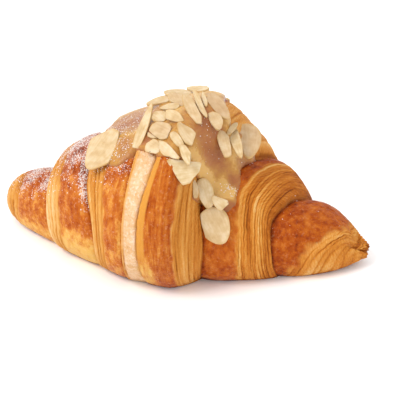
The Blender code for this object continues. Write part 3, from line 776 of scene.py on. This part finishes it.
def makeDrizzle():
    grid = layRoll(drizzle["coarse"], drizzle["around"])
    places = evenOut(evenOut(grid["place"], 60, 0), 6, 1)
    out = evenNormals(places)
    crust = ((grid["place"] - places) * out).sum(-1)  # where the crust is, from these even places
    level = drizzleLevel(places, grid["angle"])
    thick = np.full(level.shape, drizzle["thick"])
    for x, angle, radius, share in drizzle["spots"]:
        away = unrolled(places, grid["angle"]) - (x, angle * drizzle["roundness"])
        thick *= mix(share, 1, rise(np.linalg.norm(away, axis=-1), 0.35 * radius, 0.9 * radius))
    lumps = sum(high * noiseAt(grid["place"], size, seed) for high, size, seed in drizzle["lumps"])
    swell = np.sqrt(1 - (1 - np.clip(level / drizzle["edge"], 0, 1)) ** 2)
    seen = np.where(level > 0, (thick + lumps) * swell, 0)  # how thick it looks, which sets its colour
    thick = np.maximum(thick * 0.8 + 0.25, drizzle["least"]) + 0.8 * lumps * smooth(thick / 1.4)
    height = np.where(level > 0, thick * swell, 0) - drizzle["root"] * rise(level, 0, -0.7)
    bed = mix(crust, nearby(crust, np.maximum), smooth(level / 3))  # it pools in the steps
    top = places + out * (height + bed)[..., None]
    under = places + out * (nearby(crust, np.minimum) - drizzle["below"])[..., None]
    shape, rows = rollShape(grid, top)
    cell = shape.verts.layers.int.new("cell")
    depth = shape.verts.layers.float.new("thick")
    for vert, row, step in zip(shape.verts, *rows):
        vert[cell] = row * drizzle["around"] + step
        vert[depth] = seen[row, step]
    away = [vert for vert, row, step in zip(shape.verts, *rows) if level[row, step] < drizzle["trim"]]
    bmesh.ops.delete(shape, geom=away, context="VERTS")
    low = set(shape.verts)
    bmesh.ops.extrude_face_region(shape, geom=shape.faces[:])
    under = (under.reshape(-1, 3) + np.array(roll["shift"])) * mm
    for vert in low:
        vert.co = Vector(under[vert[cell]])
    shape.verts.sort(key=lambda vert: 2 * vert[cell] + (vert in low))
    loose = [vert for vert in shape.verts if not vert.link_faces]
    bmesh.ops.delete(shape, geom=loose, context="VERTS")
    sortFaces(shape)
    bmesh.ops.recalc_face_normals(shape, faces=shape.faces)
    made = newObject("drizzle", shape, almondGlaze())
    print("drizzle", len(made.data.polygons), "faces")
    return made


def almondGlaze():  # thick almond icing, set half clear: tan where thin, paler where it piles up
    made, tree, shader = newMaterial("Set almond glaze", drizzle["finish"])
    at = addNode(tree, "TexCoord", out="Object")
    thick = addNode(tree, "Attribute", out="Fac", attribute_name="thick")
    broad = addNode(tree, "TexNoise", {"Scale": 120.0, "Detail": 3.0}, {"Vector": at})  # clouds of 8 mm
    fine = addNode(tree, "TexNoise", {"Scale": 700.0, "Detail": 3.0}, {"Vector": at})  # curds of 1.4 mm
    tone = addNode(tree, "Math", {1: 0.47, 2: -0.39}, {0: thick}, operation="MULTIPLY_ADD")
    tone = addNode(tree, "Math", links={0: tone, 1: broad}, operation="ADD")
    shade = addNode(tree, "ValToRGB", links={"Fac": vary(tree, tone, fine, 0.5)}, stops=drizzle["tones"])
    tree.links.new(shade, shader.inputs["Base Color"])
    bump = addNode(tree, "Bump", {"Strength": 0.5, "Distance": 0.0007}, {"Height": fine})
    tree.links.new(bump, shader.inputs["Normal"])
    return made


# Each of the almonds in front is X, angle, turn, lean towards the front, length and width, then how
# pointed it is, how much it bends, its tone (0 pale cream, 1 pinkish beige) and its breaks. A break
# is the direction that it faces, in degrees from the flake's length, and how far out it is.
almonds = {
    "front": (
        (-35.9, 61.8, -120, 5, 21.5, 16.8, 0.3, 0.6, 0.3,
         ((122, 0.59), (-133, 0.85), (136, 0.81), (113, 0.72))),
        (-18.5, 71.5, 79, 14, 25.0, 4.6, 0.1, 0.25, 0.2, ((178, 0.78),)),
        (14.7, 2.5, -60, 5, 17.2, 13.3, 0, 0.25, 0.3, ((-114, 0.74),)),
        (5.9, 34.5, 103, 5, 8.2, 2.6, 0, 0.25, 0.2, ((-179, 0.95), (86, 0.76))),
        (9.9, 33.4, -67, 5, 14.2, 6.8, 0, 0.25, 0.1, ((5, 0.84),)),
        (15.9, 28.2, 151, 5, 9, 5.8, 0.2, 0.25, 0.15, ((-77, 0.68), (-145, 0.83), (172, 0.63))),
        (1.6, 43.3, 16, 5, 17.6, 12.3, 0, 0.25, 0, ((-32, 0.69), (-157, 0.54), (87, 0.67), (-14, 0.73))),
        (-11.2, 55.9, -24, 5, 7.8, 6.5, 0.1, 0.25, 0.3, ((-83, 0.79), (150, 0.9), (24, 0.76))),
        (-4.8, 52.5, 145, 5, 12.7, 5.4, 0, 0.25, 0.3, ((23, 0.76), (-114, 0.67), (136, 0.7))),
        (-1.5, 58.1, -45, 5, 9.6, 3.7, 0, 0.25, 0.2, ((-57, 0.95), (-8, 0.79), (176, 0.93))),
        (2.2, 51.9, 126, 5, 10.5, 4.1, 0.1, 0.5, 0.1, ((-6, 0.73), (-143, 0.69))),
        (-9.3, 65.5, -26, 10, 10.9, 9.4, 0, 0.4, 0.6, ((10, 0.72), (114, 0.84), (-112, 0.69))),
        (-13.5, 63.8, -29, 5, 6.2, 2, 0.2, 0.25, 0.3, ((-166, 0.74), (78, 0.55), (-35, 0.85))),
        (1.5, 63.5, 139, 5, 11.8, 6.5, 0, 0.4, 0.35, ((-155, 0.7), (-50, 0.83))),
        (-5.4, 75.1, -26, 15, 10.6, 5.6, 0.7, 0.25, 0.2, ((-155, 0.76), (-88, 0.76))),
        (-12.6, 79.3, -43, 15, 7.5, 6.4, 0.3, 0.25, 0.2, ((-48, 0.85), (132, 0.85))),
        (-9.8, 87.8, -173, 20, 8.9, 4.3, 0.7, 0.25, 0.2, ((88, 0.6),)),
        (-17, 101.5, -159, 14, 11.2, 6.1, 0, 0.25, 0.3, ((89, 0.76),)),
        (-10, 108, 172, 16, 12.5, 9, 0.1, 0.25, 0.35, ()),
        (-2.2, 116, 156, 18, 11.1, 7.7, 0.7, 0.25, 0.1, ((92, 0.67),)),
        (-7.7, 94, -56, 20, 11.7, 5.7, 0.1, 0.25, 0.6, ((-42, 0.61), (139, 0.9))),
        (3.3, 87.6, -52, 25, 14.3, 3.7, 0, 0.25, 0.2, ((84, 0.68), (-123, 0.63))),
        (1.2, 82, -57, 20, 19, 5.7, 0.3, 0.25, 0.5, ((104, 0.68), (-9, 0.86), (166, 0.77))),
        (4.4, 92.6, 114, 20, 8.7, 2.2, 0, 0.25, 0.2, ((119, 0.83),)),
        (10.1, 92.8, -37, 20, 15.3, 6.7, 0, 0.25, 0.95, ((-153, 0.84), (-175, 0.84), (-97, 0.84))),
        (10.6, 82.3, -55, 10, 9.9, 6.5, 0.6, 0.25, 0.5, ((12, 0.86), (-120, 0.8), (-89, 0.69))),
        (23.2, 98.2, -76, 20, 21.3, 10.9, 0.4, 0.4, 0.75, ((-83, 0.65),)),
        (14.4, 76.9, 116, 5, 13, 6.8, 0.1, 0.5, 0.5, ((111, 0.69), (-4, 0.94), (-112, 0.7))),
        (19.6, 83.3, -67, 10, 20.4, 4.8, 0.1, 0.6, 0.1, ((-165, 0.83), (99, 0.9), (-122, 0.88))),
        (17.2, 90.4, -113, 15, 8.1, 3.2, 0.4, 0.25, 0.1, ((95, 0.68), (129, 0.71))),
    ),
    "behind": {"count": 7, "from": -26, "to": 6, "angle": (138, 152), "length": (9, 13), "width": (6, 10)},
    "grid": (14, 10),
    "thick": 1.0,
    "rim": 0.22,
    "taper": 0.25,  # how much narrower the far end is, as a share
    "twist": 0.25,
    "wobble": 0.05,  # of the outline, as a share of the size
    "buckle": 0.12,  # millimetres
    "sharp": 50,  # degrees, from which an edge is a corner
    "seed": 7,
    "pale": ((0.2, "#BA9865"), (0.45, "#CAAF82"), (0.7, "#D8C4A0")),
    "beige": ((0.2, "#AF8B64"), (0.5, "#BC9C76"), (0.8, "#C6AC8A")),
    "rimTone": "#C29C5B",
    "finish": {
        "Roughness": 0.48,
        "Specular IOR Level": 0.25,
        "Subsurface Weight": 0.2,
        "Subsurface Radius": (0.003, 0.002, 0.001),
    },
}


def flakeShape(trees, x, angle, turn, lean, length, width, point, cup, tone, breaks, draw):
    place, axes = laidFrame(trees, x, angle, turn, lean)
    shape = bmesh.new()
    bmesh.ops.create_grid(shape, x_segments=almonds["grid"][0], y_segments=almonds["grid"][1], size=1)
    for vert in shape.verts:  # a square pulled into a disc
        u, v = vert.co.x, vert.co.y
        vert.co.x, vert.co.y = u * math.sqrt(1 - v * v / 2), v * math.sqrt(1 - u * u / 2)
    for way, out in breaks:
        way = math.radians(way)
        normal = Vector((math.cos(way), math.sin(way), 0))
        geometry = shape.verts[:] + shape.edges[:] + shape.faces[:]
        bmesh.ops.bisect_plane(shape, geom=geometry, plane_co=normal * out, plane_no=normal, clear_outer=True)
    names = ("tone", "edge", "alongFlake", "acrossFlake")
    layers = [shape.verts.layers.float.new(name) for name in names]
    seed = draw.uniform(0, 50)
    twist = draw.uniform(-almonds["twist"], almonds["twist"])
    for vert in shape.verts:
        u, v = vert.co.x, vert.co.y
        for layer, value in zip(layers, (tone, math.hypot(u, v), u * length / 2, v * width / 2 + seed)):
            vert[layer] = value
        v *= (1 - almonds["taper"] * u) * (1 - point * max(0.0, u) ** 2 * 0.6)
        wobble = 1 + almonds["wobble"] * noise.noise(Vector((u * 1.6, v * 1.6, seed)))
        bent = cup * (u * u + v * v - 1) / 2 * length / 15 + twist * u * v * width / 4
        bent += almonds["buckle"] * noise.noise(Vector((u * 2, v * 2, seed + 9)))
        bent = Vector((u * length / 2 * wobble, v * width / 2 * wobble, bent + laying["above"]))
        vert.co = place + axes @ bent
    down = -axes.col[2]
    falls = [fallOn(trees, vert.co, down)[3] for vert in shape.verts]
    falls = sorted(fall for fall in falls if fall is not None)
    drop = falls[int(len(falls) * laying["sunk"])] + laying["bite"]
    bmesh.ops.translate(shape, verts=shape.verts, vec=down * drop)
    grown = bmesh.ops.extrude_face_region(shape, geom=shape.faces[:])
    upper = [part for part in grown["geom"] if isinstance(part, bmesh.types.BMVert)]
    bmesh.ops.translate(shape, verts=upper, vec=axes.col[2] * almonds["thick"])
    bmesh.ops.recalc_face_normals(shape, faces=shape.faces)
    rim = [edge for edge in shape.edges if len(edge.link_faces) == 2 and edge.calc_face_angle() > 0.9]
    bmesh.ops.bevel(
        shape, geom=rim, offset=almonds["rim"], segments=2, profile=0.5, affect="EDGES", material=-1
    )
    return shape


def makeFlakes(trees):
    draw = random.Random(almonds["seed"])
    places = list(almonds["front"])
    behind = almonds["behind"]
    for number in range(behind["count"]):
        share = (number + draw.uniform(0.1, 0.9)) / behind["count"]
        x, angle = mix(behind["from"], behind["to"], share), draw.uniform(*behind["angle"])
        turn = draw.uniform(-90, 90)
        length, width = draw.uniform(*behind["length"]), draw.uniform(*behind["width"])
        places.append((x, angle, turn, 0, length, width, 0.2, 0.3, draw.uniform(0, 1), ()))
    whole = bmesh.new()
    laid = list(trees)
    for place in places:
        shape = flakeShape(laid, *place, draw)
        laid.append(BVHTree.FromBMesh(shape))  # later flakes may lie on it
        bmesh.ops.translate(shape, verts=shape.verts, vec=roll["shift"])
        bmesh.ops.scale(shape, verts=shape.verts, vec=(mm, mm, mm))
        part = bpy.data.meshes.new("part")
        shape.to_mesh(part)
        shape.free()
        whole.from_mesh(part)
        bpy.data.meshes.remove(part)
    sortFaces(whole)
    made = newObject("almondFlakes", whole, slicedAlmond())
    made.data.set_sharp_from_angle(angle=math.radians(almonds["sharp"]))
    print("almond flakes", len(places), "of them,", len(made.data.polygons), "faces")
    return made


def slicedAlmond():  # blanched almond cut thin: cream, waxy, with a faint grain and a darker rim
    made, tree, shader = newMaterial("Sliced blanched almond", almonds["finish"])
    seen = {}
    for name in ("tone", "edge", "alongFlake", "acrossFlake"):
        seen[name] = addNode(tree, "Attribute", out="Fac", attribute_name=name)
    at = addNode(tree, "TexCoord", out="Object")
    onFlake = addNode(tree, "CombineXYZ", links={"X": seen["alongFlake"], "Y": seen["acrossFlake"]})
    drawn = addNode(tree, "Mapping", {"Scale": (0.15, 1.4, 1)}, {"Vector": onFlake})  # 6.7 by 0.7 mm
    grain = addNode(tree, "TexNoise", {"Scale": 1.0, "Detail": 3.0}, {"Vector": drawn})
    cloud = addNode(tree, "TexNoise", {"Scale": 280.0, "Detail": 4.0}, {"Vector": at})  # 3.6 mm
    mixed = addNode(tree, "Math", {1: 0.45, 2: -0.22}, {0: grain}, operation="MULTIPLY_ADD")
    mixed = addNode(tree, "Math", links={0: mixed, 1: cloud}, operation="ADD")
    pale = addNode(tree, "ValToRGB", links={"Fac": mixed}, stops=almonds["pale"])
    beige = addNode(tree, "ValToRGB", links={"Fac": mixed}, stops=almonds["beige"])
    shade = addNode(tree, "Mix", links={0: seen["tone"], 6: pale, 7: beige}, out=2, data_type="RGBA")
    edge = {"Value": seen["edge"]}
    rim = addNode(tree, "MapRange", {"From Min": 0.86, "From Max": 1.0, "To Max": 0.55}, edge)
    rimTone = {7: colour(almonds["rimTone"])}
    shade = addNode(tree, "Mix", rimTone, {0: rim, 6: shade}, out=2, data_type="RGBA")
    tree.links.new(shade, shader.inputs["Base Color"])
    bump = addNode(tree, "Bump", {"Strength": 0.3, "Distance": 0.0003}, {"Height": mixed})
    tree.links.new(bump, shader.inputs["Normal"])
    return made


# Powdered sugar lies in small clumps, most of them where the crust faces up on the left.
sugar = {
    "clumps": 7000,
    "onCrust": 0.9,  # share of them
    "radius": (0.26, 0.52),  # their roots, so that most are small
    "onGlaze": ((-28, 63, 8, 0.6), (9, 75, 9, 0.15), (19, 45, 6, 0.6), (-30, 88, 16, 0.45)),
    "elsewhere": 0.03,  # on the rest of the drizzle
    "seed": 11,
    "tones": ((0.3, "#D9CCC6"), (0.7, "#EDE8E4")),
    "finish": {"Roughness": 0.8, "Specular IOR Level": 0.2},
}


def glazeSugar(mesh):  # how much sugar lies at each vertex of the drizzle
    place = np.empty(len(mesh.vertices) * 3, np.float32)
    mesh.vertices.foreach_get("co", place)
    x, y, z = (place.reshape(-1, 3) / mm - roll["shift"]).T
    angle = np.degrees(np.arctan2(z - np.interp(x, *zip(*laying["axis"])), spineY(x) - y))
    found = np.full(len(x), sugar["elsewhere"])
    for middle, around, radius, amount in sugar["onGlaze"]:
        away = np.hypot(x - middle, (angle - around) * drizzle["roundness"])
        found = np.maximum(found, amount * smooth(1.2 - away / radius))
    return found


def clumpPlaces(mesh, amount, count, draw):  # on faces that don't face down
    faces = [face for face in mesh.polygons if face.normal.z > -0.2]
    weight = [face.area * float(np.mean([amount[n] for n in sorted(face.vertices)])) ** 1.5 for face in faces]
    for face in draw.choices(faces, weights=weight, k=count):
        ring = list(face.vertices)
        first = ring.index(min(ring))  # a face may start at any of its corners
        corners = [mesh.vertices[n].co for n in ring[first:] + ring[:first]]
        across, along = draw.random(), draw.random()
        start, end = corners[0].lerp(corners[1], across), corners[-1].lerp(corners[2], across)
        yield start.lerp(end, along), face.normal


def makeSugar(crustMesh, glazeMesh):
    draw = random.Random(sugar["seed"])
    amount = np.empty(len(crustMesh.vertices), np.float32)
    crustMesh.attributes["sugar"].data.foreach_get("value", amount)
    places = list(clumpPlaces(crustMesh, amount, int(sugar["clumps"] * sugar["onCrust"]), draw))
    places += clumpPlaces(glazeMesh, glazeSugar(glazeMesh), sugar["clumps"] - len(places), draw)
    shape = bmesh.new()
    bmesh.ops.create_icosphere(shape, subdivisions=1, radius=1)
    bmesh.ops.recalc_face_normals(shape, faces=shape.faces)
    ball = [vert.co.copy() for vert in shape.verts]
    while len(shape.verts) < len(ball) * len(places):
        bmesh.ops.duplicate(shape, geom=shape.verts[:] + shape.edges[:] + shape.faces[:])
    shape.verts.ensure_lookup_table()
    bmesh.ops.delete(shape, geom=shape.verts[len(ball) * len(places) :], context="VERTS")
    shape.verts.ensure_lookup_table()
    for number, (place, normal) in enumerate(places):
        radius = draw.uniform(*sugar["radius"]) ** 2 * mm
        spread = Vector((draw.uniform(0.7, 1.4), draw.uniform(0.7, 1.4), 0.8)) * radius
        turn = normal.to_track_quat("Z", "Y")
        for step, corner in enumerate(ball, number * len(ball)):
            shape.verts[step].co = place + turn @ (corner * spread + Vector((0, 0, radius * 0.25)))
    made = newObject("powderedSugar", shape, finePowder())
    print("powdered sugar", len(places), "clumps,", len(made.data.polygons), "faces")
    return made


def finePowder():  # icing sugar dusted on: dry, matt and white, a little warm where it is thin
    made, tree, shader = newMaterial("Powdered sugar", sugar["finish"])
    at = addNode(tree, "TexCoord", out="Object")
    cloud = addNode(tree, "TexNoise", {"Scale": 300.0, "Detail": 2.0}, {"Vector": at})  # 3.3 mm
    shade = addNode(tree, "ValToRGB", links={"Fac": cloud}, stops=sugar["tones"])
    tree.links.new(shade, shader.inputs["Base Color"])
    return made


addCamera()
addLights()
addFloor()
print("camera, lights and floor")
crust = makeCrust()
crustTree = surfaceOf(crust)
glaze = makeDrizzle()
flakes = makeFlakes([crustTree, surfaceOf(glaze)])
dusting = makeSugar(crust.data, glaze.data)
for piece in (crust, glaze, flakes, dusting):
    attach(piece, "root")
    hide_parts("croissant")
